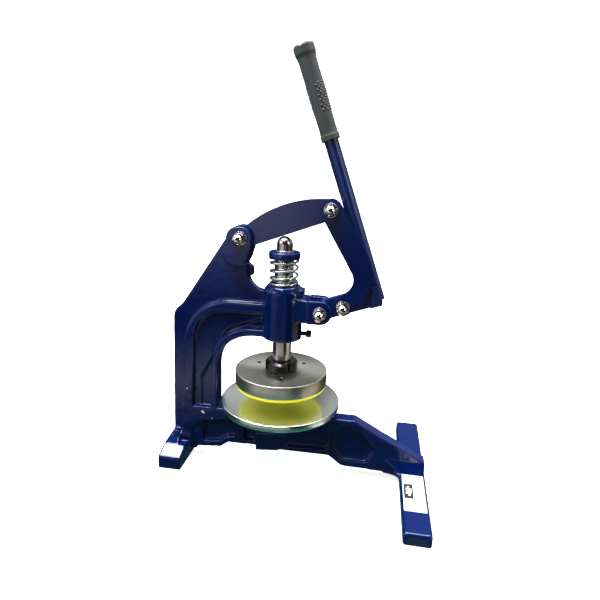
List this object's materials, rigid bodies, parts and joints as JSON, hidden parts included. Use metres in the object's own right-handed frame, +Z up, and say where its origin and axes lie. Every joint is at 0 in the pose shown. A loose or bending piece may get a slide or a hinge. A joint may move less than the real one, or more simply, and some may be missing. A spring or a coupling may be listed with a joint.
{
  "type": "hand lever press",
  "caption": "Bench hand press: cast C-frame, hand lever, link and arm drive a sprung ram with a round padded plate over a round anvil plate.",
  "frame": {"origin": "on the floor under the middle of the bounding box; the ram axis stands 17 mm towards the rear foot (-X) from it", "axes": "+Z up along the ram axis, +X from the rear foot to the long front foot, +Y across the press away from the pivot nuts"},
  "size_m": [0.294, 0.209, 0.4433],
  "materials": {
    "enamel_casting": "glossy navy enamel on a sand casting",
    "enamel_collar": "glossy navy enamel",
    "enamel_arm": "navy enamel, satin gloss",
    "enamel_link": "glossy navy enamel",
    "enamel_lever": "glossy navy enamel",
    "zinc_plate": "zinc plated, faint green cast, turned",
    "zinc_fastener": "bright zinc",
    "chrome_nut": "polished",
    "spring_wire": "bright zinc wire",
    "ground_steel": "ground and polished",
    "ground_plate": "fine turned face, polished rim",
    "black_oxide": "black oxide, oiled",
    "yellow_pad": "cast polyurethane",
    "grip_rubber": "satin moulded grip",
    "label_film": null
  },
  "bodies": {
    "frame": {"frame_casting": "enamel_casting", "bed_casting": "enamel_casting", "lower_plate": "zinc_plate", "lower_plate_bolt": "zinc_fastener", "lower_plate_washer": "zinc_fastener", "arm_pivot_bolt": "zinc_fastener", "arm_pivot_nut": "chrome_nut", "arm_pivot_washers": "zinc_fastener", "lever_pivot_bolt": "zinc_fastener", "lever_pivot_nut": "chrome_nut", "lever_pivot_washers": "zinc_fastener", "foot_label": "label_film", "return_spring": "spring_wire"},
    "guide_screw": {"guide_screw": "black_oxide"},
    "ram": {"ram_shaft": "ground_steel", "spring_collar": "enamel_collar", "retaining_ring": "zinc_fastener", "pressure_plate": "ground_plate", "ram_lock_nut": "black_oxide", "pressure_pad": "yellow_pad"},
    "arm": {"upper_arm": "enamel_arm"},
    "link": {"link_plate": "enamel_link", "link_bolt": "zinc_fastener", "link_nut": "chrome_nut", "link_washers": "zinc_fastener", "link_spacer": "zinc_fastener"},
    "lever": {"lever_bar": "enamel_lever", "handle_tube": "enamel_lever", "handle_grip": "grip_rubber", "crank_bolt": "zinc_fastener", "crank_nut": "chrome_nut", "crank_washers": "zinc_fastener", "crank_spacer": "zinc_fastener"}
  },
  "joints": [
    {"name": "lever_hinge", "type": "hinge", "parent": "frame", "child": "lever", "pos_m": [0.0236, 0, 0.1876], "axis": [0, 1, 0], "range_deg": [0, 70]},
    {"name": "arm_hinge", "type": "hinge", "parent": "frame", "child": "arm", "pos_m": [-0.0608, 0, 0.2595], "axis": [0, 1, 0], "range_deg": [0, 16.46]},
    {"name": "link_hinge", "type": "hinge", "parent": "arm", "child": "link", "pos_m": [0.0296, 0, 0.2923], "axis": [0, 1, 0], "range_deg": [-10.16, 0]},
    {"name": "ram_slide", "type": "slide", "parent": "frame", "child": "ram", "axis": [0, 0, -1], "range_m": [0, 0.01191], "stiffness_N_per_m": 2500, "springref_m": -0.012, "deforming": ["return_spring"]},
    {"name": "guide_screw_turn", "type": "hinge", "parent": "frame", "child": "guide_screw", "pos_m": [0.003, 0, 0.16], "axis": [1, 0, 0], "range_deg": [0, 180]}
  ],
  "couplings": [
    {"joint": "arm_hinge", "follows": "lever_hinge", "ratio": 0.235},
    {"joint": "link_hinge", "follows": "lever_hinge", "ratio": -0.145},
    {"joint": "ram_slide", "follows": "lever_hinge", "m_per_rad": 0.0097403}
  ]
}
